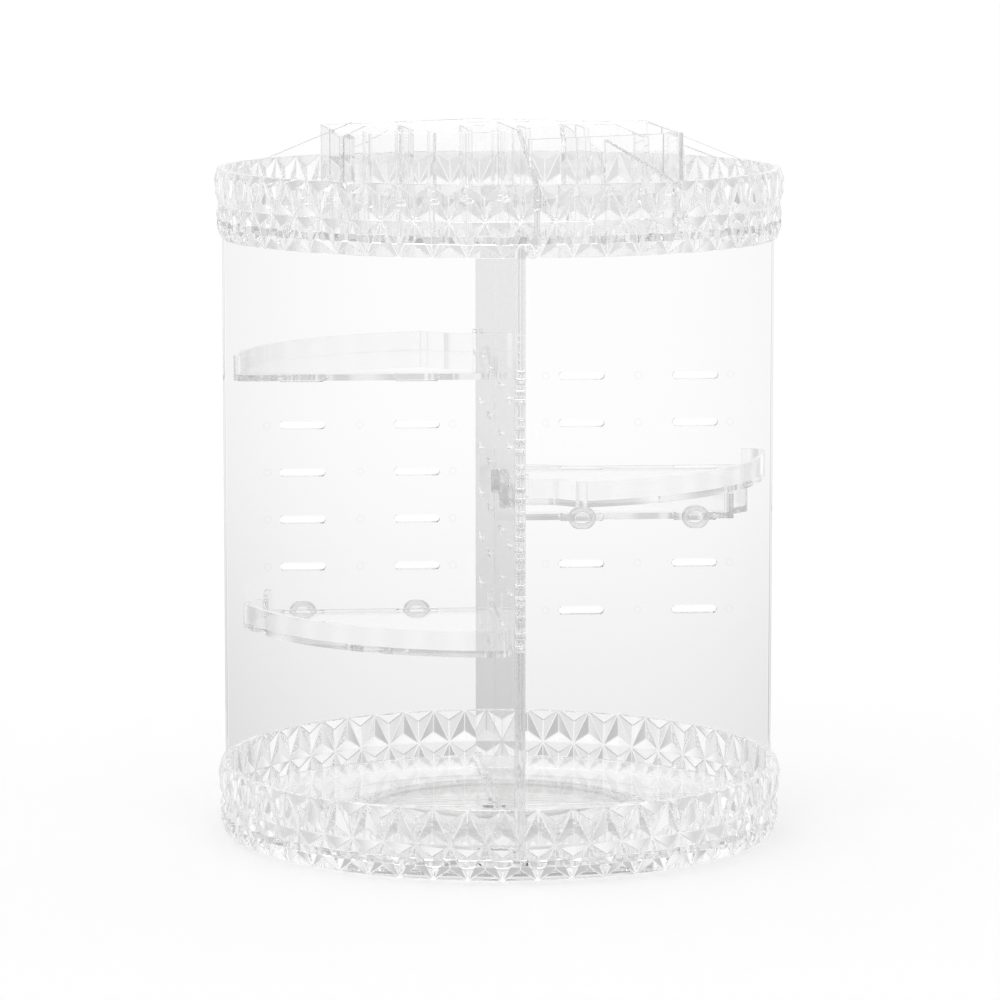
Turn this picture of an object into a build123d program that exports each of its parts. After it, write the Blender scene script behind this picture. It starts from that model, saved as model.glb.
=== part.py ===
from build123d import *
import math
import os

# Rotating makeup organizer in clear plastic. Two diamond-cut round trays, joined by a cross of two
# half-lapped panels, turn as one on a ball race. Four fan trays hook into slots of the panels and
# are held there by soft rings. Millimetres, +Z up, origin on the table under the middle. The wide
# panel lies along X and the cross panel along Y; the front of the organizer faces -Y.

# Diamond-cut wall, the same on both round trays
facet_count = 52
wall_inner_radius = 110.8
wall_height = 28.2
top_edge_thickness = 3.0
waist_thickness = 2.6
bottom_edge_thickness = 1.6
waist_share = 0.5
facet_rise = 1.6

# Floors of the round trays
foot_clearance = 2.0
floor_rise = 5.3
floor_thickness = 2.9

# Channels that hold the panels' lower and upper edges
channel_height = 3.0
channel_thickness = 1.6
channel_clearance = 0.15
channel_start = 8.0
channel_end_gap = 8.0

# Crossed panels
panel_height = 239.1
panel_thickness = 4.2
panel_overhang = 1.2
panel_edge_round = 1.2
shoulder_gap = 0.4
tongue_clearance = 0.5
lap_clearance = 0.15
lap_gap = 0.3
lap_share = 0.5

# Slots of the panels
slot_length = 18.7
slot_height = 3.2
slot_row_count = 6
slot_row_spacing = 19.3
lowest_slot_rise = 80.4
inner_slot_offset = 33.6
outer_slot_inset = 31.9

# Fan trays
tray_setback = 2.8
tray_height = 10.0
tray_floor_thickness = 2.4
tray_wall = 1.8
tray_lip_height = 3.4
tray_panel_gap = 0.5
tray_slot_drop = 0.1
step_start = 24.0
step_end = 14.0
step_depth = 9.0
step_round = 5.0
tray_corner_round = 6.0
tray_inner_round = 3.0
wall_return = 3.0
ear_height = 11.8
ear_width = 3.6

# Tongues and nubs of the fan trays
slot_end_clearance = 0.4
slot_top_clearance = 0.2
tongue_setback = 0.2
nub_width = 5.7
nub_thickness = 2.1
nub_end = 1.3

# Soft rings over the nubs
ring_length = 11.2
ring_height = 9.1
ring_bore_length = 6.4
ring_bore_height = 4.9
ring_thickness = 3.2
ring_round = 0.9
ring_gap = 0.2

# Walls that divide the top tray
divider_turn = 3.3
divider_thickness = 2.2
divider_gap = 0.15
divider_height = 38.1
divider_flat_reach = 60.0
long_divider_drop = 2.6
fan_width = 32.8
well_height = 35.3
vane_angles = (-60.0, 60.0, 120.0)
corner_vane_angle = -30.0
vane_drop = 1.4
lipstick_count = 5
rack_end_gap = 8.0
lipstick_depth = 24.0
rack_end_slope = 9.0
rack_end_drop = 4.0
pencil_count = 5
pencil_depth = 12.0
pencil_height = 34.6

# Turntable
race_gap = 2.5
race_radius = 58.0
ball_diameter = 4.0
ball_count = 24
ball_fit = 0.05
cage_thickness = 1.2
cage_width = 9.0
cage_pocket_clearance = 0.15
foot_radius = 82.0
foot_rim_width = 16.0
foot_plate_thickness = 2.2
pad_count = 6
pad_radius = 5.0
pad_thickness = 1.6
pad_recess = 0.6
pad_fit = 0.05
pivot_radius = 7.0
pivot_fit = 0.06
pivot_end_play = 0.2
washer_radius = 11.0
washer_thickness = 0.8
screw_radius = 1.5
screw_fit = 0.05
screw_reach = 5.5
screw_hole_spare = 0.5
screw_head_radius = 3.4
screw_head_height = 1.0
screw_recess_width = 0.7
screw_recess_length = 3.6
screw_recess_depth = 0.6

# Small gap between pieces that rest on each other, and the overrun of cuts
seat_gap = 0.05
overrun = 1.0

# Heights and reaches that follow from the sizes above
base_floor_under = foot_clearance + floor_rise
base_floor_top = base_floor_under + floor_thickness
panel_bottom = base_floor_top + seat_gap
panel_top = panel_bottom + panel_height
top_floor_under = panel_top + seat_gap
top_tray_bottom = top_floor_under - floor_rise
top_floor_top = top_floor_under + floor_thickness
top_edge = top_tray_bottom + wall_height
divider_bottom = top_floor_top + seat_gap
rim_height = top_edge - divider_bottom
divider_reach = wall_inner_radius - divider_gap
divider_face = divider_thickness / 2 + divider_gap
well_radius = wall_inner_radius - fan_width
well_apothem = well_radius * math.cos(math.pi / 6)
half_panel = panel_thickness / 2
panel_reach = wall_inner_radius + panel_overhang
outer_slot_offset = panel_reach - outer_slot_inset
tray_radius = wall_inner_radius - tray_setback
lowest_slot = panel_bottom + lowest_slot_rise
ON_TOP = (Align.CENTER, Align.CENTER, Align.MIN)


def polar(radius, angle, height=0):
    """Point at a radius and an angle in degrees round the axis."""
    turn = math.radians(angle)
    return Vector(radius * math.cos(turn), radius * math.sin(turn), height)


def disc(radius, bottom, height):
    """Upright cylinder on the axis."""
    return Pos(0, 0, bottom) * Cylinder(radius, height, align=ON_TOP)


def pipe(outer_radius, inner_radius, bottom, height):
    """Upright tube on the axis."""
    return disc(outer_radius, bottom, height) - disc(inner_radius, bottom - overrun, height + 2 * overrun)


def pyramid(corners):
    """Three faces that rise from a triangle on the wall to a peak over its middle."""
    middle = (corners[0] + corners[1] + corners[2]) * (1 / 3)
    outward = Vector(middle.X, middle.Y, 0).normalized()
    peak = middle + outward * facet_rise
    sides = zip(corners, corners[1:] + corners[:1])
    return [Face(Wire.make_polygon([start, end, peak])) for start, end in sides]


def diamond_drum():
    """Solid drum whose side is two bands of three-sided pyramids that meet in stars at the waist."""
    pitch = 360 / facet_count
    waist_radius = wall_inner_radius + waist_thickness
    waist_height = wall_height * waist_share
    stars = [polar(waist_radius, pitch * k, waist_height) for k in range(facet_count)]
    faces = []
    for thickness, height in ((top_edge_thickness, wall_height), (bottom_edge_thickness, 0)):
        radius = wall_inner_radius + thickness
        tips = [polar(radius, pitch * (k + 0.5), height) for k in range(facet_count)]
        faces.append(Face(Wire.make_polygon(tips)))
        for k in range(facet_count):
            star = stars[(k + 1) % facet_count]
            faces += pyramid([stars[k], star, tips[k]])
            faces += pyramid([tips[k], star, tips[(k + 1) % facet_count]])
    return Solid(Shell(faces))


def channels(bottom):
    """Pairs of low ribs on both sides of each panel arm."""
    length = wall_inner_radius - channel_end_gap - channel_start
    rib = Box(length, channel_thickness, channel_height, align=ON_TOP)
    along = channel_start + length / 2
    aside = half_panel + channel_clearance + channel_thickness / 2
    ribs = Part()
    for quarter in range(4):
        for side in (-aside, aside):
            ribs += Rot(0, 0, 90 * quarter) * Pos(along, side, bottom) * rib
    return ribs


def round_tray(bottom):
    """Diamond-cut wall with a floor, open above and below it."""
    drum = Pos(0, 0, bottom) * diamond_drum()
    floor_under = bottom + floor_rise
    floor_top = floor_under + floor_thickness
    hollow_below = disc(wall_inner_radius, bottom - overrun, floor_rise + overrun)
    hollow_above = disc(wall_inner_radius, floor_top, wall_height)
    return drum - hollow_below - hollow_above


def base_tray():
    """Lower tray with the channels on its floor and the pivot and race groove under it."""
    tray = round_tray(foot_clearance) + channels(base_floor_top)
    tray += disc(pivot_radius, pivot_bottom, base_floor_under - pivot_bottom)
    hole_depth = screw_reach + screw_hole_spare
    tray -= disc(screw_radius + screw_fit, pivot_bottom - overrun, hole_depth + overrun)
    return tray - race_groove()


def top_tray():
    """Upper tray with the channels under its floor."""
    return round_tray(top_tray_bottom) + channels(top_floor_under - channel_height)


def panel(slit_bottom, slit_top):
    """Upright panel along X with shoulders over the trays' walls, slots and the slit of its half lap."""
    shoulder_bottom = foot_clearance + wall_height + shoulder_gap
    shoulder_top = top_tray_bottom - shoulder_gap
    tongue_width = 2 * (wall_inner_radius - tongue_clearance)
    shoulder_height = shoulder_top - shoulder_bottom
    body = Pos(0, 0, shoulder_bottom) * Box(2 * panel_reach, panel_thickness, shoulder_height, align=ON_TOP)
    outer_edges = body.edges().filter_by(Axis.Z)
    body = fillet(outer_edges, panel_edge_round)
    body += Pos(0, 0, panel_bottom) * Box(tongue_width, panel_thickness, panel_height, align=ON_TOP)
    slit_width = panel_thickness + 2 * lap_clearance
    slit_depth = panel_thickness + 2 * overrun
    slit_height = slit_top - slit_bottom
    body -= Pos(0, 0, slit_bottom) * Box(slit_width, slit_depth, slit_height, align=ON_TOP)
    offsets = (-outer_slot_offset, -inner_slot_offset, inner_slot_offset, outer_slot_offset)
    slot = extrude(Plane.XZ * SlotOverall(slot_length, slot_height), panel_thickness, both=True)
    rows = [lowest_slot + slot_row_spacing * row for row in range(slot_row_count)]
    return body - [Pos(offset, 0, row) * slot for row in rows for offset in offsets]


def wide_panel():
    """Panel along X, slit from its top down to the middle."""
    return panel(lap_height - lap_gap / 2, panel_top + overrun)


def cross_panel():
    """Panel along Y, slit from its lower edge up to the middle."""
    return Rot(0, 0, 90) * panel(panel_bottom - overrun, lap_height + lap_gap / 2)


def tray_outline():
    """Quarter fan in the front left, with a stepped corner by the panel that it hooks into."""
    edge = half_panel + tray_panel_gap
    step_top = -math.sqrt(tray_radius**2 - step_start**2)
    step_foot = step_top + step_depth
    arc_end = -math.sqrt(tray_radius**2 - edge**2)
    middle = polar(tray_radius, 225)
    inner = (-edge, -edge)
    corner = (-edge, arc_end)
    foot = (step_foot, -step_end)
    top = (step_top, -step_start)
    sides = Polyline(corner, inner, (step_foot, -edge), foot, top)
    outline = make_face(sides + ThreePointArc(top, middle, corner))
    outline = fillet(nearest(outline, foot) + nearest(outline, top), step_round)
    outline = fillet(nearest(outline, corner), tray_corner_round)
    return fillet(nearest(outline, inner), tray_inner_round)


def nearest(sketch, place):
    """The corner of a sketch that lies at a place."""
    return sketch.vertices().sort_by_distance((*place, 0))[:1]


def fan_tray():
    """Fan tray of the front left at height zero of its slot row, with its tongues through the wide panel."""
    outline = tray_outline()
    band = outline - offset(outline, -tray_wall)
    edge = half_panel + tray_panel_gap
    under = tray_slot_drop - slot_height / 2
    tray = extrude(outline, tray_floor_thickness) + extrude(band, tray_lip_height)
    wall = extrude(band, tray_height)
    lip_depth = edge + tray_wall + seat_gap
    ear_place = math.sqrt(tray_radius**2 - step_start**2) - step_depth
    open_front = ear_place - ear_width
    open_side = tray_radius - tray_corner_round - wall_return
    corner = (Align.MAX, Align.MAX, Align.MIN)
    wall -= Box(open_front, lip_depth, tray_height + overrun, align=corner)
    wall -= Box(lip_depth, open_side, tray_height + overrun, align=corner)
    tray += wall
    ear_side = Rectangle(ear_width, ear_height - ear_width / 2, align=(Align.CENTER, Align.MIN))
    ear_side += Pos(0, ear_height - ear_width / 2) * Circle(ear_width / 2)
    ear_plane = Plane((-ear_place + ear_width / 2, -edge, 0), x_dir=(1, 0, 0), z_dir=(0, -1, 0))
    tray += extrude(ear_plane * ear_side, tray_wall)
    tray = Pos(0, 0, under) * tray
    tongue_width = slot_length - 2 * slot_end_clearance
    tongue_thickness = slot_height - tray_slot_drop - slot_top_clearance
    tongue_middle = under + tongue_thickness / 2
    tongue_start = -edge - tray_wall / 2
    tongue_end = half_panel - tongue_setback
    nub_reach = half_panel + ring_gap + ring_thickness + nub_end
    for slot in (inner_slot_offset, outer_slot_offset):
        section = Plane((-slot, tongue_start, tongue_middle), x_dir=(1, 0, 0), z_dir=(0, 1, 0))
        tray += extrude(section * SlotOverall(tongue_width, tongue_thickness), tongue_end - tongue_start)
        tray += extrude(section * Rectangle(nub_width, nub_thickness), nub_reach - tongue_start)
    return tray


def soft_rings():
    """The two rings on the nubs of the front left tray, behind the wide panel."""
    under = tray_slot_drop - slot_height / 2
    middle = under + (slot_height - tray_slot_drop - slot_top_clearance) / 2
    rings = []
    for slot in (inner_slot_offset, outer_slot_offset):
        section = Plane((-slot, half_panel + ring_gap, middle), x_dir=(1, 0, 0), z_dir=(0, 1, 0))
        ring = extrude(section * SlotOverall(ring_length, ring_height), ring_thickness)
        ring = fillet(ring.edges().filter_by(Axis.Y, reverse=True), ring_round)
        ring -= extrude(section * SlotOverall(ring_bore_length, ring_bore_height), ring_thickness, both=True)
        rings.append(ring.solid())
    return Compound(rings)


def wall_strip(across, front, rear):
    """Flat band of one wall thickness from front to rear at a distance across."""
    strip = Rectangle(divider_thickness, rear - front, align=(Align.CENTER, Align.MIN))
    return Pos(across, front) * strip


def on_top_floor(shape):
    """Place a piece of the divided top tray, whose walls are turned a little from the panels."""
    return Rot(0, 0, divider_turn) * Pos(0, 0, divider_bottom) * shape


def plate(corners):
    """Upright plate of one wall thickness along X from the corners of its side."""
    side = make_face(Polyline(*corners, close=True))
    return extrude(Plane.XZ * side, divider_thickness / 2, both=True)


def long_divider():
    """Wall right across the top tray, level in the middle and falling to the rim at both ends."""
    end_height = rim_height - long_divider_drop
    right = [(divider_reach, 0), (divider_reach, end_height), (divider_flat_reach, divider_height)]
    left = [(-across, height) for across, height in reversed(right)]
    return on_top_floor(plate(right + left))


def front_divider():
    """Wall from the long divider to the front, level and then falling to the rim."""
    slope = [(divider_reach, rim_height), (divider_flat_reach, divider_height)]
    side = [(divider_face, 0), (divider_reach, 0), *slope, (divider_face, divider_height)]
    return on_top_floor(Rot(0, 0, -90) * plate(side))


def well_walls():
    """Six-sided band of walls with a corner to the front."""
    apothem_share = math.cos(math.pi / 6)
    half = divider_thickness / 2 / apothem_share
    band = RegularPolygon(well_radius + half, 6) - RegularPolygon(well_radius - half, 6)
    return Rot(0, 0, 30) * band


def front_well():
    """Walls in the front right, between the front divider and the long divider."""
    corner = Rectangle(divider_reach, divider_reach, align=(Align.MIN, Align.MAX))
    walls = well_walls() & Pos(divider_face, -divider_face) * corner
    return on_top_floor(extrude(walls, well_height))


def rear_well():
    """Walls behind the long divider."""
    behind = Rectangle(2 * divider_reach, divider_reach, align=(Align.CENTER, Align.MIN))
    walls = well_walls() & Pos(0, divider_face) * behind
    return on_top_floor(extrude(walls, well_height))


def lipstick_rack():
    """Row of square cells behind the long divider."""
    rear = divider_face + lipstick_depth + divider_thickness / 2
    half_length = well_apothem - rack_end_gap
    cell = 2 * half_length / lipstick_count
    walls = Pos(0, rear) * Rectangle(2 * half_length + divider_thickness, divider_thickness)
    for k in range(lipstick_count + 1):
        walls += wall_strip(cell * k - half_length, divider_face, rear)
    end = half_length + divider_thickness / 2
    start = end - rack_end_slope
    above = well_height + overrun
    beyond = end + overrun
    low = well_height - rack_end_drop
    slope = [(start, well_height), (end, low)]
    cut = make_face(Polyline(*slope, (beyond, low), (beyond, above), (start, above), close=True))
    right_cut = extrude(Plane.XZ * cut, -2 * rear)
    return on_top_floor(extrude(walls, well_height) - right_cut - mirror(right_cut, Plane.YZ))


def pencil_rack():
    """Row of narrow cells in the front left, with a longer side wall at its left end."""
    left = -well_apothem
    right = -divider_face - divider_thickness / 2
    cell = (right - left) / pencil_count
    front = -divider_face - pencil_depth - divider_thickness / 2
    walls = Pos((left + right) / 2, front) * Rectangle(right - left + divider_thickness, divider_thickness)
    for k in range(pencil_count + 1):
        walls += wall_strip(left + cell * k, front, -divider_face)
    walls += wall_strip(left, -well_radius / 2, front)
    return on_top_floor(extrude(walls, pencil_height))


def slanted_dividers():
    """Vanes that fall from the walls of the wells to the rim of the top tray."""
    clear = divider_thickness / 2 + divider_gap
    side_start = well_apothem + clear
    corner_start = well_radius + clear / math.cos(math.pi / 6)
    fall = (well_height - vane_drop - rim_height) / (divider_reach - side_start)
    vanes = []
    for angle in (*vane_angles, corner_vane_angle):
        start = corner_start if angle == corner_vane_angle else side_start
        height = rim_height + fall * (divider_reach - start)
        vane = plate([(start, 0), (divider_reach, 0), (divider_reach, rim_height), (start, height)])
        vanes.append(on_top_floor(Rot(0, 0, angle) * vane).solid())
    return Compound(vanes)


def race_groove():
    """Ring in which the balls run, half in the foot and half under the base tray's floor."""
    return Pos(0, 0, ball_height) * Torus(race_radius, ball_diameter / 2 + ball_fit)


def ball_places():
    """Places of the balls round the race."""
    return PolarLocations(race_radius, ball_count)


def ball_cage():
    """Flat ring with a pocket for each ball."""
    bottom = ball_height - cage_thickness / 2
    cage = pipe(race_radius + cage_width / 2, race_radius - cage_width / 2, bottom, cage_thickness)
    pocket = Cylinder(ball_diameter / 2 + cage_pocket_clearance, cage_thickness + overrun)
    return cage - [Pos(0, 0, ball_height) * place * pocket for place in ball_places()]


def race_balls():
    """Steel balls of the race."""
    ball = Sphere(ball_diameter / 2)
    return Compound([(Pos(0, 0, ball_height) * place * ball).solid() for place in ball_places()])


def pad_places():
    """Places of the pads under the rim of the foot."""
    return PolarLocations(foot_radius - foot_rim_width / 2, pad_count)


def foot_disc():
    """Round foot with a thick rim for the pads, the pivot hole and the lower race groove."""
    foot = disc(foot_radius, foot_bottom, foot_top - foot_bottom)
    under_depth = foot_plate_under - foot_bottom
    foot -= disc(foot_radius - foot_rim_width, foot_bottom - overrun, under_depth + overrun)
    foot -= disc(pivot_radius + pivot_fit, foot_bottom, foot_top)
    recess = Cylinder(pad_radius + pad_fit, pad_recess + overrun, align=ON_TOP)
    foot -= [Pos(0, 0, foot_bottom - overrun) * place * recess for place in pad_places()]
    return foot - race_groove()


def foot_pads():
    """Rubber pads set into the rim of the foot."""
    pad = Cylinder(pad_radius, pad_thickness, align=ON_TOP)
    return Compound([(place * pad).solid() for place in pad_places()])


def pivot_washer():
    """Washer that keeps the foot on the pivot."""
    return pipe(washer_radius, screw_radius + screw_fit, washer_bottom, washer_thickness)


def pivot_screw():
    """Screw with a cross recess, up through the washer into the pivot."""
    head_bottom = washer_bottom - screw_head_height
    screw = disc(screw_head_radius, head_bottom, screw_head_height)
    screw += disc(screw_radius, washer_bottom, washer_thickness + screw_reach)
    for turn in (0, 90):
        bar = Box(screw_recess_length, screw_recess_width, screw_recess_depth, align=ON_TOP)
        screw -= Pos(0, 0, head_bottom) * Rot(0, 0, turn) * bar
    return screw


# Heights of the turntable and of the half lap
foot_top = base_floor_under - race_gap
foot_plate_under = foot_top - foot_plate_thickness
foot_bottom = pad_thickness - pad_recess
pivot_bottom = foot_plate_under - pivot_end_play
washer_bottom = pivot_bottom - washer_thickness
ball_height = foot_top + race_gap / 2
lap_height = panel_bottom + panel_height * lap_share

# Fan trays: the quarter turn from the front left and the slot row, counted from the lowest
tray_places = {
    "front_left": (0, 0),
    "front_right": (1, 3),
    "rear_right": (2, 2),
    "rear_left": (3, 5),
}

pieces = {
    "foot_disc": foot_disc(),
    "foot_pads": foot_pads(),
    "ball_cage": ball_cage(),
    "race_balls": race_balls(),
    "pivot_washer": pivot_washer(),
    "pivot_screw": pivot_screw(),
    "base_tray": base_tray(),
    "wide_panel": wide_panel(),
    "cross_panel": cross_panel(),
    "top_tray": top_tray(),
    "long_divider": long_divider(),
    "front_divider": front_divider(),
    "front_well": front_well(),
    "rear_well": rear_well(),
    "lipstick_rack": lipstick_rack(),
    "pencil_rack": pencil_rack(),
    "slanted_dividers": slanted_dividers(),
}
fan = fan_tray()
rings = soft_rings()
for name, (quarter, row) in tray_places.items():
    place = Rot(0, 0, 90 * quarter) * Pos(0, 0, lowest_slot + slot_row_spacing * row)
    pieces[name + "_tray"] = place * fan
    pieces[name + "_rings"] = place * rings

os.makedirs("parts", exist_ok=True)
for name, piece in pieces.items():
    export_step(piece, f"parts/{name}.step")
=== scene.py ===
import math

import bpy
from bpy.props import FloatProperty, FloatVectorProperty, PointerProperty
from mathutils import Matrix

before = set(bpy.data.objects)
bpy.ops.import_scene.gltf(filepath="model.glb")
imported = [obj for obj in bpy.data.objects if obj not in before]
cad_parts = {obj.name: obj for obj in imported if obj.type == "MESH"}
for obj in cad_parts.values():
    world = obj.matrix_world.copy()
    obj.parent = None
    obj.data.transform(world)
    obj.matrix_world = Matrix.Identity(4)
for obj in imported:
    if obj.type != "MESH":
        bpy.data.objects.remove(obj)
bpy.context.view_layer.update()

bl_info = {
    "name": "Rotating makeup organizer",
    "version": (1, 0, 0),
    "blender": (4, 5, 0),
    "location": "View3D > Sidebar > Organizer",
    "description": "Finishes of a clear rotating makeup organizer, with its stage",
    "category": "Object",
}

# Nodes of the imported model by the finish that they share
ROUND_TRAYS = ("base_tray", "top_tray")
PANELS = ("wide_panel", "cross_panel")
QUARTERS = ("front_left", "front_right", "rear_right", "rear_left")
FAN_TRAYS = tuple(quarter + "_tray" for quarter in QUARTERS)
SOFT_RINGS = tuple(quarter + "_rings" for quarter in QUARTERS)
DIVIDERS = (
    "long_divider",
    "front_divider",
    "front_well",
    "rear_well",
    "lipstick_rack",
    "pencil_rack",
    "slanted_dividers",
)

# Edges that are rounded: how sharp they are, how far out those of a diamond-cut wall lie, how close
# the corners of neighbouring faces are joined first, and how much faces turn before they shade apart
SHARP_ANGLE = math.radians(14.0)
WALL_REACH = 0.106
WELD_REACH = 0.000002
CRISP_ANGLE = math.radians(8.0)

# Gap that the pads keep from what they touch, so that no two faces lie in one plane
SEAT_GAP = 0.00004

# Depth of the relief on the clear plastic and on the small pieces
CLEAR_RELIEF = 0.0004
FINE_RELIEF = 0.0002

# How many times rougher a smear is than the clean polish, and what a speck or a pin mark leaves of the tint
SMEAR_GAIN = 3.0
SPECK_SHARE = 0.96

# Rim of an ejector mark as shares of its radius: where it rises and where it falls
RIM_RISE_SHARES = (0.7, 0.9)
RIM_FALL_SHARES = (1.1, 1.3)

# What a lamp's light keeps at each face of the clear plastic, and the nearly black colour of its depth,
# which greys long ways through it evenly
SHADOW_TINT = (0.965, 0.965, 0.965, 1.0)
DEPTH_TINT = (0.0, 0.0, 0.02, 1.0)

# Milky silicone of the rings and pads, clean and smeared
SILICONE_ROUGHNESS = (0.30, 0.40)
SILICONE_CLEARNESS = 0.92
SILICONE_IOR = 1.3
SILICONE_RELIEF = 0.25
SMEAR_PALENESS = 1.02

# Shades of the room by direction, each from where it starts to where it is full: the cosine between
# two strips, the fall towards the ground, the ground's far and near ends, and the camera's side
STRIP_EDGE = (1.0, -0.7)
LOW_BAND = (-0.07, -0.2)
GROUND_FAR_END = (-0.11, -0.2)
GROUND_NEAR_END = (-0.42, -0.32)
FRONT_BAND = (-0.1, -0.7)

# Stage values: half the floor's width, its roughness, the camera's sensor in millimetres and plain white
FLOOR_HALF = 12.0
FLOOR_ROUGHNESS = 0.9
SENSOR_WIDTH = 36.0
WHITE = (1.0, 1.0, 1.0, 1.0)

# Light paths that are long enough for the many clear walls that stand in a line
CLEAR_BOUNCES = 96
SHADOW_BOUNCES = 64


class OrganizerFinish(bpy.types.PropertyGroup):
    """Colours and surface values of the organizer's pieces."""

    clear_tint: FloatVectorProperty(
        name="Clear tint",
        description="Colour that one wall of the clear plastic lets through",
        subtype="COLOR",
        min=0.0,
        max=1.0,
        default=(0.945, 0.945, 0.944),
    )
    clear_roughness: FloatProperty(
        name="Clear roughness",
        description="Roughness of the polished plastic where it is clean",
        subtype="FACTOR",
        min=0.0,
        max=1.0,
        default=0.006,
    )
    clear_ior: FloatProperty(
        name="Refraction",
        description="Index of refraction of the clear plastic",
        min=1.0,
        max=2.0,
        default=1.53,
    )
    edge_round: FloatProperty(
        name="Edge round",
        description="Width of the small round that the mould leaves along sharp edges",
        unit="LENGTH",
        min=0.0,
        default=0.00025,
    )
    ring_colour: FloatVectorProperty(
        name="Soft ring colour",
        description="Colour of the milky silicone rings",
        subtype="COLOR",
        min=0.0,
        max=1.0,
        default=(0.965, 0.965, 0.965),
    )
    pad_colour: FloatVectorProperty(
        name="Pad colour",
        description="Colour of the silicone pads under the foot",
        subtype="COLOR",
        min=0.0,
        max=1.0,
        default=(0.9, 0.9, 0.9),
    )
    cage_colour: FloatVectorProperty(
        name="Cage colour",
        description="Colour of the ball cage",
        subtype="COLOR",
        min=0.0,
        max=1.0,
        default=(0.80, 0.80, 0.79),
    )
    steel_colour: FloatVectorProperty(
        name="Steel colour",
        description="Colour of the balls",
        subtype="COLOR",
        min=0.0,
        max=1.0,
        default=(0.78, 0.78, 0.79),
    )
    zinc_colour: FloatVectorProperty(
        name="Zinc colour",
        description="Colour of the zinc-plated washer and screw",
        subtype="COLOR",
        min=0.0,
        max=1.0,
        default=(0.93, 0.93, 0.935),
    )


class OrganizerStage(bpy.types.PropertyGroup):
    """Camera, lamp, room and floor."""

    camera_place: FloatVectorProperty(
        name="Camera place",
        description="Where the camera stands",
        subtype="TRANSLATION",
        unit="LENGTH",
        default=(-0.1412, -1.9278, 0.3929),
    )
    camera_tilt: FloatProperty(
        name="Camera tilt",
        description="How far the camera looks down",
        subtype="ANGLE",
        default=math.radians(7.56),
    )
    camera_turn: FloatProperty(
        name="Camera turn",
        description="How far the camera is turned to the right of +Y",
        subtype="ANGLE",
        default=math.radians(4.2),
    )
    camera_lens: FloatProperty(
        name="Lens",
        description="Focal length on a sensor 36 mm wide",
        unit="CAMERA",
        default=172.2,
    )
    room_level: FloatProperty(
        name="Room level",
        description="Even light from all around",
        default=0.6,
    )
    lamp_level: FloatProperty(
        name="Lamp level",
        description="Strength of the wide soft lamp high on the left",
        default=1.15,
    )
    lamp_tilt: FloatProperty(
        name="Lamp tilt",
        description="How far the lamp leans from straight above",
        subtype="ANGLE",
        default=math.radians(24.0),
    )
    lamp_turn: FloatProperty(
        name="Lamp turn",
        description="How far the lamp is turned about the upright",
        subtype="ANGLE",
        default=math.radians(-35.0),
    )
    lamp_width: FloatProperty(
        name="Lamp width",
        description="How wide the lamp looks from the floor, which softens the shadow",
        subtype="ANGLE",
        default=math.radians(60.0),
    )
    floor_colour: FloatVectorProperty(
        name="Floor colour",
        description="Colour of the floor under the lamp",
        subtype="COLOR",
        min=0.0,
        max=1.0,
        default=(0.86, 0.86, 0.86),
    )
    floor_lift: FloatProperty(
        name="Floor lift",
        description="What is added to the floor so that it goes to white",
        default=0.2,
    )
    strip_peak: FloatProperty(
        name="Strip level",
        description="Level of the bright strips that clear plastic shows",
        default=1.06,
    )
    strip_shade: FloatProperty(
        name="Strip shade",
        description="How much darker it is between the strips, above the ground",
        subtype="FACTOR",
        min=0.0,
        max=1.0,
        default=0.245,
    )
    low_shade: FloatProperty(
        name="Low shade",
        description="How much more shade lies between the strips towards the ground",
        subtype="FACTOR",
        min=0.0,
        max=1.0,
        default=0.12,
    )
    ground_shade: FloatProperty(
        name="Ground shade",
        description="How much darker the ground is close behind the object",
        subtype="FACTOR",
        min=0.0,
        max=1.0,
        default=0.14,
    )
    front_shade: FloatProperty(
        name="Front shade",
        description="How much darker the room is on the camera's side",
        subtype="FACTOR",
        min=0.0,
        max=1.0,
        default=0.18,
    )
    strip_turn: FloatProperty(
        name="Strip turn",
        description="How far the first strip is turned to the right of +Y",
        subtype="ANGLE",
        default=math.radians(4.5),
    )
    strip_count: FloatProperty(
        name="Bright strips",
        description="How many bright upright strips stand around the object",
        default=20.0,
    )


def finish():
    """The finish values of the scene."""
    return bpy.context.scene.organizer_finish


def add_node(tree, kind, **settings):
    """New node with settings: attributes of the node, or the values of its named sockets."""
    node = tree.nodes.new(kind)
    for label, value in settings.items():
        if hasattr(node, label):
            setattr(node, label, value)
        else:
            node.inputs[label.replace("_", " ")].default_value = value
    return node


def maths(tree, operation, *values):
    """Result of a Math node of sockets or numbers."""
    node = add_node(tree, "ShaderNodeMath", operation=operation)
    for socket, value in zip(node.inputs, values):
        if isinstance(value, bpy.types.NodeSocket):
            tree.links.new(value, socket)
        else:
            socket.default_value = value
    return node.outputs["Value"]


def smooth_step(tree, value, low, high):
    """Value that goes smoothly from zero at low to one at high."""
    step = add_node(tree, "ShaderNodeMapRange", interpolation_type="SMOOTHSTEP")
    step.inputs["From Min"].default_value = low
    step.inputs["From Max"].default_value = high
    tree.links.new(value, step.inputs["Value"])
    return step.outputs["Result"]


def mixed_value(tree, mask, low, high):
    """Value that goes from low to high with a mask."""
    ramp = add_node(tree, "ShaderNodeMapRange", To_Min=low, To_Max=high)
    tree.links.new(mask, ramp.inputs["Value"])
    return ramp.outputs["Result"]


def mixed_colour(tree, mask, low, high):
    """Colour that goes from low to high with a mask."""
    mix = add_node(tree, "ShaderNodeMix", data_type="RGBA")
    colours = [socket for socket in mix.inputs if socket.type == "RGBA"]
    colours[0].default_value = (*low, 1.0)
    colours[1].default_value = (*high, 1.0)
    tree.links.new(mask, mix.inputs["Factor"])
    return next(socket for socket in mix.outputs if socket.type == "RGBA")


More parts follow.
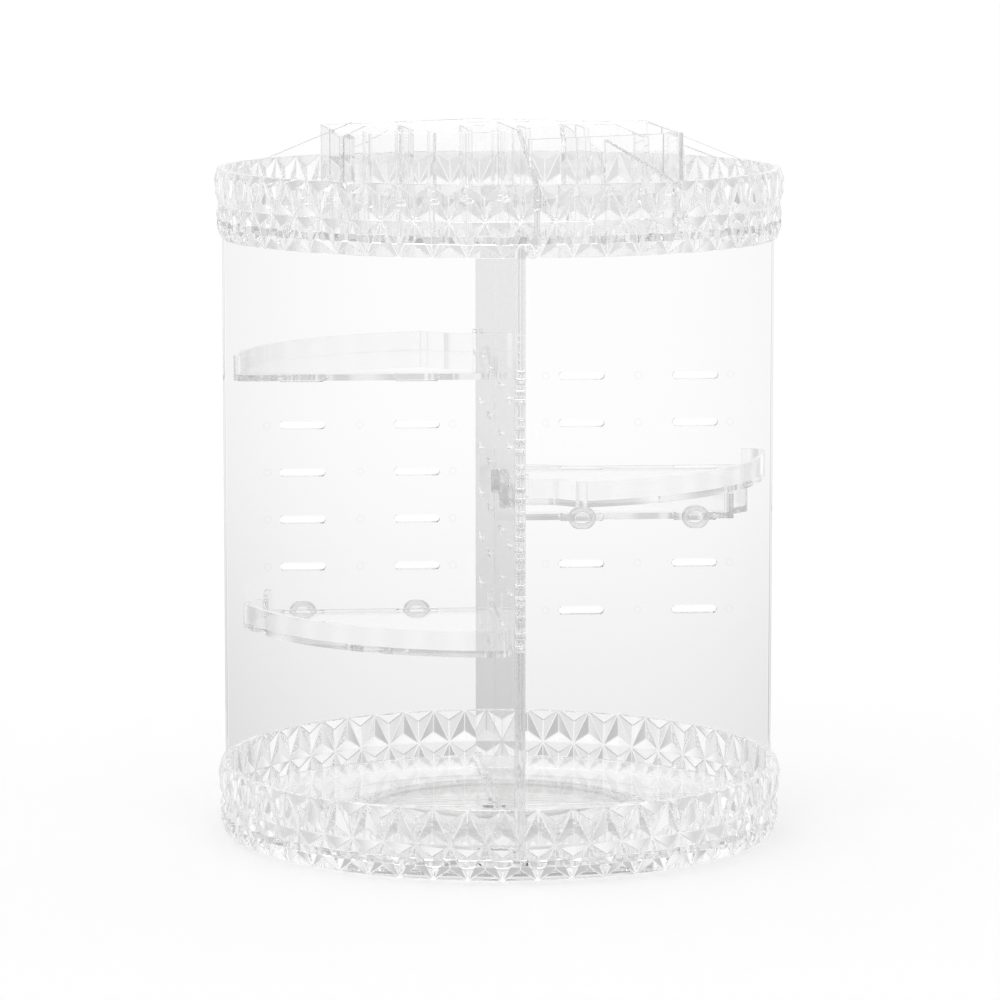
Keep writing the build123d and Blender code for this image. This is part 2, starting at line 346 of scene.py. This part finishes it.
def new_group(name, inputs, outputs):
    """Empty shader node group with named number sockets, and its input and output nodes."""
    group = bpy.data.node_groups.new(name, "ShaderNodeTree")
    for label, value in inputs:
        socket = group.interface.new_socket(label, in_out="INPUT", socket_type="NodeSocketFloat")
        socket.default_value = value
    for label in outputs:
        group.interface.new_socket(label, in_out="OUTPUT", socket_type="NodeSocketFloat")
    return group, group.nodes.new("NodeGroupInput"), group.nodes.new("NodeGroupOutput")


def shared_group(name, build):
    """The node group of that name, built the first time that a material asks for it."""
    return bpy.data.node_groups.get(name) or build(name)


def place_group(tree, group, **values):
    """Node of a shared group with its own values."""
    node = tree.nodes.new("ShaderNodeGroup")
    node.node_tree = group
    for label, value in values.items():
        node.inputs[label.replace("_", " ")].default_value = value
    return node


def moulding_group(name):
    """Slow waves and fine grain that moulded plastic shows, as a height."""
    group, source, result = new_group(
        name,
        [("Wave Scale", 40.0), ("Grain Scale", 900.0), ("Grain Share", 0.1)],
        ["Height"],
    )
    place = add_node(group, "ShaderNodeTexCoord")
    wave = add_node(group, "ShaderNodeTexNoise", Detail=1.0, Roughness=0.4)
    grain = add_node(group, "ShaderNodeTexNoise", Detail=2.0, Roughness=0.6)
    for noise, label in ((wave, "Wave Scale"), (grain, "Grain Scale")):
        group.links.new(place.outputs["Object"], noise.inputs["Vector"])
        group.links.new(source.outputs[label], noise.inputs["Scale"])
    fine = maths(group, "MULTIPLY", grain.outputs["Fac"], source.outputs["Grain Share"])
    height = maths(group, "ADD", wave.outputs["Fac"], fine)
    group.links.new(height, result.inputs["Height"])
    return group


def handling_group(name):
    """Faint smears and specks of dust from handling, as masks."""
    group, source, result = new_group(
        name,
        [("Smear Scale", 22.0), ("Dust Scale", 420.0)],
        ["Smear", "Dust"],
    )
    place = add_node(group, "ShaderNodeTexCoord")
    smear = add_node(group, "ShaderNodeTexNoise", Detail=4.0, Roughness=0.62, Distortion=0.8)
    dust = add_node(group, "ShaderNodeTexVoronoi")
    for texture, label in ((smear, "Smear Scale"), (dust, "Dust Scale")):
        group.links.new(place.outputs["Object"], texture.inputs["Vector"])
        group.links.new(source.outputs[label], texture.inputs["Scale"])
    soft = add_node(group, "ShaderNodeMapRange", From_Min=0.48, From_Max=0.78)
    specks = add_node(group, "ShaderNodeMapRange", From_Min=0.10, From_Max=0.03)
    group.links.new(smear.outputs["Fac"], soft.inputs["Value"])
    group.links.new(dust.outputs["Distance"], specks.inputs["Value"])
    group.links.new(soft.outputs["Result"], result.inputs["Smear"])
    group.links.new(specks.outputs["Result"], result.inputs["Dust"])
    return group


def ejector_group(name):
    """Round marks that the ejector pins leave on the panels, midway between the slots of each row."""
    group, source, result = new_group(
        name,
        [
            ("First Mark", 0.019),
            ("Mark Pitch", 0.0377),
            ("First Row", 0.09065),
            ("Row Pitch", 0.0193),
            ("Lower End", 0.08),
            ("Upper End", 0.197),
            ("Radius", 0.0014),
        ],
        ["Mark"],
    )
    place = add_node(group, "ShaderNodeTexCoord")
    parts = add_node(group, "ShaderNodeSeparateXYZ")
    group.links.new(place.outputs["Object"], parts.inputs["Vector"])
    height = parts.outputs["Z"]
    sides = [maths(group, "ABSOLUTE", parts.outputs[axis]) for axis in ("X", "Y")]
    along = maths(group, "MAXIMUM", *sides)
    squares = []
    for value, first, pitch in ((along, "First Mark", "Mark Pitch"), (height, "First Row", "Row Pitch")):
        past_first = maths(group, "SUBTRACT", value, source.outputs[first])
        steps = maths(group, "DIVIDE", past_first, source.outputs[pitch])
        past_nearest = maths(group, "SUBTRACT", steps, maths(group, "ROUND", steps))
        offset = maths(group, "MULTIPLY", past_nearest, source.outputs[pitch])
        squares.append(maths(group, "POWER", offset, 2.0))
    reach = maths(group, "SQRT", maths(group, "ADD", *squares))
    share = maths(group, "DIVIDE", reach, source.outputs["Radius"])
    rise = smooth_step(group, share, *RIM_RISE_SHARES)
    fall = smooth_step(group, share, *RIM_FALL_SHARES)
    above = maths(group, "GREATER_THAN", height, source.outputs["Lower End"])
    below = maths(group, "LESS_THAN", height, source.outputs["Upper End"])
    in_rows = maths(group, "MULTIPLY", above, below)
    mark = maths(group, "MULTIPLY", maths(group, "SUBTRACT", rise, fall), in_rows)
    group.links.new(mark, result.inputs["Mark"])
    return group


def new_material(name):
    """Node material with its tree, Principled shader and output."""
    material = bpy.data.materials.new(name)
    material.use_nodes = True
    tree = material.node_tree
    return material, tree, tree.nodes["Principled BSDF"], tree.nodes["Material Output"]


def moulding(tree, **values):
    """Moulded surface in a material."""
    return place_group(tree, shared_group("Moulded surface", moulding_group), **values)


def handling(tree, **values):
    """Handling marks in a material."""
    return place_group(tree, shared_group("Handling marks", handling_group), **values)


def add_relief(tree, shader, height, strength, distance):
    """Bump of a height on a shader."""
    bump = add_node(tree, "ShaderNodeBump", Strength=strength, Distance=distance)
    tree.links.new(height, bump.inputs["Height"])
    tree.links.new(bump.outputs["Normal"], shader.inputs["Normal"])


def clear_plastic(name, wave_scale, wave_strength, tint_share, depth_loss, pins=False):
    """Polished clear plastic. Lamps shine through it, so that it throws only a pale shadow."""
    material, tree, shader, output = new_material(name)
    values = finish()
    mould = moulding(tree, Wave_Scale=wave_scale)
    marks = handling(tree)
    clean = values.clear_roughness
    roughness = mixed_value(tree, marks.outputs["Smear"], clean, clean * SMEAR_GAIN)
    tree.links.new(roughness, shader.inputs["Roughness"])
    spots = marks.outputs["Dust"]
    if pins:
        ejector = place_group(tree, shared_group("Ejector marks", ejector_group))
        spots = maths(tree, "MAXIMUM", spots, ejector.outputs["Mark"])
    tint = [1.0 - (1.0 - channel) * tint_share for channel in values.clear_tint]
    spotted = [channel * SPECK_SHARE for channel in tint]
    tree.links.new(mixed_colour(tree, spots, tint, spotted), shader.inputs["Base Color"])
    shader.inputs["Transmission Weight"].default_value = 1.0
    shader.inputs["IOR"].default_value = values.clear_ior
    add_relief(tree, shader, mould.outputs["Height"], wave_strength, CLEAR_RELIEF)
    depth = add_node(tree, "ShaderNodeVolumeAbsorption", Density=depth_loss)
    depth.inputs["Color"].default_value = DEPTH_TINT
    tree.links.new(depth.outputs["Volume"], output.inputs["Volume"])
    paths = add_node(tree, "ShaderNodeLightPath")
    through = add_node(tree, "ShaderNodeBsdfTransparent")
    through.inputs["Color"].default_value = SHADOW_TINT
    mix = add_node(tree, "ShaderNodeMixShader")
    tree.links.new(paths.outputs["Is Shadow Ray"], mix.inputs["Fac"])
    tree.links.new(shader.outputs["BSDF"], mix.inputs[1])
    tree.links.new(through.outputs["BSDF"], mix.inputs[2])
    tree.links.new(mix.outputs["Shader"], output.inputs["Surface"])
    return material


def soft_silicone(name, colour):
    """Milky silicone with faint smears."""
    material, tree, shader, _ = new_material(name)
    mould = moulding(tree, Wave_Scale=260.0, Grain_Scale=2600.0, Grain_Share=0.5)
    smear = handling(tree, Smear_Scale=300.0).outputs["Smear"]
    tree.links.new(mixed_value(tree, smear, *SILICONE_ROUGHNESS), shader.inputs["Roughness"])
    pale = [min(1.0, channel * SMEAR_PALENESS) for channel in colour]
    tree.links.new(mixed_colour(tree, smear, colour, pale), shader.inputs["Base Color"])
    shader.inputs["Transmission Weight"].default_value = SILICONE_CLEARNESS
    shader.inputs["IOR"].default_value = SILICONE_IOR
    add_relief(tree, shader, mould.outputs["Height"], SILICONE_RELIEF, FINE_RELIEF)
    return material


def solid_finish(name, colour, worn_share, roughness, metallic, grain_scale, relief):
    """Opaque finish with smears and grain: plain plastic or steel."""
    material, tree, shader, _ = new_material(name)
    mould = moulding(tree, Wave_Scale=120.0, Grain_Scale=grain_scale, Grain_Share=0.8)
    smear = handling(tree, Smear_Scale=160.0).outputs["Smear"]
    shader.inputs["Metallic"].default_value = metallic
    tree.links.new(mixed_value(tree, smear, *roughness), shader.inputs["Roughness"])
    worn = [channel * worn_share for channel in colour]
    tree.links.new(mixed_colour(tree, smear, colour, worn), shader.inputs["Base Color"])
    add_relief(tree, shader, mould.outputs["Height"], relief, FINE_RELIEF)
    return material


def dress(names, material):
    """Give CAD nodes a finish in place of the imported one."""
    for name in names:
        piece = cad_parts[name]
        piece.data.materials.clear()
        piece.data.materials.append(material)


def wall_edges():
    """Geometry nodes that mark the sharp edges of a diamond-cut wall for rounding."""
    group = bpy.data.node_groups.new("Wall edges", "GeometryNodeTree")
    for side in ("INPUT", "OUTPUT"):
        group.interface.new_socket("Geometry", in_out=side, socket_type="NodeSocketGeometry")
    source = group.nodes.new("NodeGroupInput")
    result = group.nodes.new("NodeGroupOutput")
    place = add_node(group, "GeometryNodeInputPosition")
    parts = add_node(group, "ShaderNodeSeparateXYZ")
    group.links.new(place.outputs["Position"], parts.inputs["Vector"])
    squares = [maths(group, "POWER", parts.outputs[axis], 2.0) for axis in ("X", "Y")]
    reach = maths(group, "SQRT", maths(group, "ADD", *squares))
    fold = add_node(group, "GeometryNodeInputMeshEdgeAngle")
    sharp = maths(group, "GREATER_THAN", fold.outputs["Unsigned Angle"], SHARP_ANGLE)
    outside = maths(group, "GREATER_THAN", reach, WALL_REACH)
    store = add_node(group, "GeometryNodeStoreNamedAttribute", data_type="FLOAT", domain="EDGE")
    store.inputs["Name"].default_value = "bevel_weight_edge"
    group.links.new(source.outputs["Geometry"], store.inputs["Geometry"])
    group.links.new(maths(group, "MULTIPLY", sharp, outside), store.inputs["Value"])
    group.links.new(store.outputs["Geometry"], result.inputs["Geometry"])
    return group


def round_edges(names, marks=None):
    """Small rounds along the sharp edges of CAD nodes, or only along the edges that nodes mark."""
    for name in names:
        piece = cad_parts[name]
        joined = piece.modifiers.new("Joined faces", "WELD")
        joined.merge_threshold = WELD_REACH
        if marks:
            piece.modifiers.new("Marked edges", "NODES").node_group = marks
        rounds = piece.modifiers.new("Round edges", "BEVEL")
        rounds.limit_method = "WEIGHT" if marks else "ANGLE"
        rounds.angle_limit = SHARP_ANGLE
        rounds.width = finish().edge_round
        rounds.segments = 1
        rounds.loop_slide = False
        rounds.use_clamp_overlap = False
        crisp = piece.modifiers.new("Crisp faces", "EDGE_SPLIT")
        crisp.split_angle = CRISP_ANGLE


class DressRoundTrays(bpy.types.Operator):
    """Clear plastic and edges of the two diamond-cut trays"""

    bl_idname = "organizer.dress_round_trays"
    bl_label = "Round trays"

    def execute(self, context):
        plastic = clear_plastic(
            "Diamond-cut plastic", wave_scale=60.0, wave_strength=0.004, tint_share=0.0, depth_loss=0.8
        )
        dress(ROUND_TRAYS, plastic)
        round_edges(ROUND_TRAYS, wall_edges())
        return {"FINISHED"}


class DressPanels(bpy.types.Operator):
    """Clear plastic of the crossed panels"""

    bl_idname = "organizer.dress_panels"
    bl_label = "Crossed panels"

    def execute(self, context):
        plastic = clear_plastic(
            "Panel plastic", wave_scale=18.0, wave_strength=0.03, tint_share=0.75, depth_loss=0.1, pins=True
        )
        dress(PANELS, plastic)
        return {"FINISHED"}


class DressFanTrays(bpy.types.Operator):
    """Clear plastic of the four fan trays"""

    bl_idname = "organizer.dress_fan_trays"
    bl_label = "Fan trays"

    def execute(self, context):
        plastic = clear_plastic(
            "Fan tray plastic", wave_scale=45.0, wave_strength=0.03, tint_share=0.3, depth_loss=1.0
        )
        dress(FAN_TRAYS, plastic)
        return {"FINISHED"}


class DressDividers(bpy.types.Operator):
    """Clear plastic and edges of the walls in the top tray"""

    bl_idname = "organizer.dress_dividers"
    bl_label = "Top tray walls"

    def execute(self, context):
        plastic = clear_plastic(
            "Divider plastic", wave_scale=70.0, wave_strength=0.01, tint_share=0.0, depth_loss=1.5
        )
        dress(DIVIDERS, plastic)
        round_edges(DIVIDERS)
        return {"FINISHED"}


class DressSoftRings(bpy.types.Operator):
    """Milky silicone of the rings that hold the fan trays"""

    bl_idname = "organizer.dress_soft_rings"
    bl_label = "Soft rings"

    def execute(self, context):
        dress(SOFT_RINGS, soft_silicone("Ring silicone", finish().ring_colour))
        return {"FINISHED"}


class DressTurntable(bpy.types.Operator):
    """Foot, pads, ball race and pivot of the turntable"""

    bl_idname = "organizer.dress_turntable"
    bl_label = "Turntable"

    def execute(self, context):
        values = finish()
        foot = clear_plastic(
            "Foot plastic", wave_scale=50.0, wave_strength=0.03, tint_share=0.0, depth_loss=0.5
        )
        cage = solid_finish(
            "Cage plastic",
            values.cage_colour,
            worn_share=0.94,
            roughness=(0.38, 0.52),
            metallic=0.0,
            grain_scale=1100.0,
            relief=0.15,
        )
        steel = solid_finish(
            "Ball steel",
            values.steel_colour,
            worn_share=0.9,
            roughness=(0.06, 0.14),
            metallic=1.0,
            grain_scale=2200.0,
            relief=0.03,
        )
        zinc = solid_finish(
            "Zinc-plated steel",
            values.zinc_colour,
            worn_share=0.9,
            roughness=(0.34, 0.48),
            metallic=1.0,
            grain_scale=1800.0,
            relief=0.12,
        )
        dress(("foot_disc",), foot)
        dress(("foot_pads",), soft_silicone("Pad silicone", values.pad_colour))
        dress(("ball_cage",), cage)
        dress(("race_balls",), steel)
        dress(("pivot_washer", "pivot_screw"), zinc)
        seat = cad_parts["foot_pads"].modifiers.new("Seat gap", "DISPLACE")
        seat.mid_level = 0.0
        seat.strength = -SEAT_GAP
        return {"FINISHED"}


def seen_by_eye(tree):
    """One for rays from the camera, from gloss and through clear plastic, and zero for the rest."""
    paths = add_node(tree, "ShaderNodeLightPath")
    seen = maths(tree, "MAXIMUM", paths.outputs["Is Camera Ray"], paths.outputs["Is Glossy Ray"])
    return maths(tree, "MAXIMUM", seen, paths.outputs["Is Transmission Ray"])


def strip_pattern(tree, stage):
    """Level of bright upright strips, with soft grey between them, towards the ground and in front."""
    place = add_node(tree, "ShaderNodeTexCoord")
    parts = add_node(tree, "ShaderNodeSeparateXYZ")
    tree.links.new(place.outputs["Generated"], parts.inputs["Vector"])
    height = parts.outputs["Z"]
    turn = maths(tree, "ARCTAN2", parts.outputs["Y"], parts.outputs["X"])
    past_first = maths(tree, "SUBTRACT", turn, math.pi / 2 - stage.strip_turn)
    phase = maths(tree, "MULTIPLY", past_first, stage.strip_count)
    between = smooth_step(tree, maths(tree, "COSINE", phase), *STRIP_EDGE)
    low = smooth_step(tree, height, *LOW_BAND)
    strip_depth = maths(tree, "MULTIPLY_ADD", low, stage.low_shade, stage.strip_shade)
    far_end = smooth_step(tree, height, *GROUND_FAR_END)
    near_end = smooth_step(tree, height, *GROUND_NEAR_END)
    ground = maths(tree, "MULTIPLY", far_end, near_end)
    front = smooth_step(tree, parts.outputs["Y"], *FRONT_BAND)
    shade = maths(tree, "MULTIPLY", between, strip_depth)
    shade = maths(tree, "MULTIPLY_ADD", ground, stage.ground_shade, shade)
    shade = maths(tree, "MULTIPLY_ADD", front, stage.front_shade, shade)
    return maths(tree, "SUBTRACT", stage.strip_peak, shade)


def light_room(stage):
    """Even light all around, white for the camera, and bright strips for gloss and clear plastic."""
    world = bpy.data.worlds.new("Studio")
    world.use_nodes = True
    tree = world.node_tree
    tree.nodes.clear()
    paths = add_node(tree, "ShaderNodeLightPath")
    even = add_node(tree, "ShaderNodeBackground", Strength=stage.room_level)
    white = add_node(tree, "ShaderNodeBackground", Strength=1.0)
    strips = add_node(tree, "ShaderNodeBackground")
    for light in (even, white, strips):
        light.inputs["Color"].default_value = WHITE
    tree.links.new(strip_pattern(tree, stage), strips.inputs["Strength"])
    bent = maths(tree, "MAXIMUM", paths.outputs["Is Glossy Ray"], paths.outputs["Is Transmission Ray"])
    room = add_node(tree, "ShaderNodeMixShader")
    tree.links.new(bent, room.inputs["Fac"])
    tree.links.new(even.outputs["Background"], room.inputs[1])
    tree.links.new(strips.outputs["Background"], room.inputs[2])
    mix = add_node(tree, "ShaderNodeMixShader")
    tree.links.new(paths.outputs["Is Camera Ray"], mix.inputs["Fac"])
    tree.links.new(room.outputs["Shader"], mix.inputs[1])
    tree.links.new(white.outputs["Background"], mix.inputs[2])
    output = add_node(tree, "ShaderNodeOutputWorld")
    tree.links.new(mix.outputs["Shader"], output.inputs["Surface"])
    bpy.context.scene.world = world


def lay_floor(stage):
    """Pale floor that goes to white and keeps the object's shadow. Gloss and clear plastic show the
    room's strips in its place."""
    material, tree, shader, _ = new_material("Studio floor")
    shader.inputs["Base Color"].default_value = (*stage.floor_colour, 1.0)
    shader.inputs["Roughness"].default_value = FLOOR_ROUGHNESS
    shader.inputs["Specular IOR Level"].default_value = 0.0
    shader.inputs["Emission Color"].default_value = WHITE
    lift = maths(tree, "MULTIPLY", seen_by_eye(tree), stage.floor_lift)
    tree.links.new(lift, shader.inputs["Emission Strength"])
    half = FLOOR_HALF
    corners = [(-half, -half, 0.0), (half, -half, 0.0), (half, half, 0.0), (-half, half, 0.0)]
    mesh = bpy.data.meshes.new("Floor")
    mesh.from_pydata(corners, [], [(0, 1, 2, 3)])
    mesh.materials.append(material)
    floor = bpy.data.objects.new("Floor", mesh)
    floor.visible_transmission = False
    floor.visible_glossy = False
    bpy.context.scene.collection.objects.link(floor)


def hang_lamp(stage):
    """Wide soft lamp that lights the whole floor evenly."""
    lamp = bpy.data.lights.new("Overhead", "SUN")
    lamp.angle = stage.lamp_width
    lamp.energy = stage.lamp_level
    holder = bpy.data.objects.new("Overhead", lamp)
    holder.rotation_euler = (stage.lamp_tilt, 0.0, stage.lamp_turn)
    bpy.context.scene.collection.objects.link(holder)


def set_camera(stage):
    """Camera at the photograph's place and angle."""
    lens = bpy.data.cameras.new("Camera")
    lens.sensor_width = SENSOR_WIDTH
    lens.lens = stage.camera_lens
    camera = bpy.data.objects.new("Camera", lens)
    camera.location = stage.camera_place
    camera.rotation_euler = (math.pi / 2 - stage.camera_tilt, 0.0, -stage.camera_turn)
    bpy.context.scene.collection.objects.link(camera)
    bpy.context.scene.camera = camera


class BuildStage(bpy.types.Operator):
    """White studio with a soft lamp, bright strips all around, a pale floor and the camera"""

    bl_idname = "organizer.build_stage"
    bl_label = "Stage"

    def execute(self, context):
        scene = context.scene
        stage = scene.organizer_stage
        light_room(stage)
        lay_floor(stage)
        hang_lamp(stage)
        set_camera(stage)
        scene.view_settings.view_transform = "Standard"
        scene.cycles.max_bounces = CLEAR_BOUNCES
        scene.cycles.transmission_bounces = CLEAR_BOUNCES
        scene.cycles.glossy_bounces = CLEAR_BOUNCES
        scene.cycles.transparent_max_bounces = SHADOW_BOUNCES
        scene.cycles.caustics_reflective = True
        scene.cycles.caustics_refractive = True
        return {"FINISHED"}


STEPS = (
    DressRoundTrays,
    DressPanels,
    DressFanTrays,
    DressDividers,
    DressSoftRings,
    DressTurntable,
    BuildStage,
)


class OrganizerPanel(bpy.types.Panel):
    """Sidebar panel with the organizer's values and steps"""

    bl_idname = "VIEW3D_PT_organizer"
    bl_label = "Makeup organizer"
    bl_space_type = "VIEW_3D"
    bl_region_type = "UI"
    bl_category = "Organizer"

    def draw(self, context):
        for group in (context.scene.organizer_finish, context.scene.organizer_stage):
            for label in group.__annotations__:
                self.layout.prop(group, label)
        for step in STEPS:
            self.layout.operator(step.bl_idname)


CLASSES = (OrganizerFinish, OrganizerStage, *STEPS, OrganizerPanel)


def register():
    """Register the classes and put their values on the scene."""
    for item in CLASSES:
        bpy.utils.register_class(item)
    bpy.types.Scene.organizer_finish = PointerProperty(type=OrganizerFinish)
    bpy.types.Scene.organizer_stage = PointerProperty(type=OrganizerStage)


def unregister():
    """Take the values and classes away again."""
    del bpy.types.Scene.organizer_stage
    del bpy.types.Scene.organizer_finish
    for item in reversed(CLASSES):
        bpy.utils.unregister_class(item)


def main():
    """Run every step in order."""
    register()
    bpy.ops.organizer.dress_round_trays()
    bpy.ops.organizer.dress_panels()
    bpy.ops.organizer.dress_fan_trays()
    bpy.ops.organizer.dress_dividers()
    bpy.ops.organizer.dress_soft_rings()
    bpy.ops.organizer.dress_turntable()
    bpy.ops.organizer.build_stage()


if __name__ == "__main__":
    main()
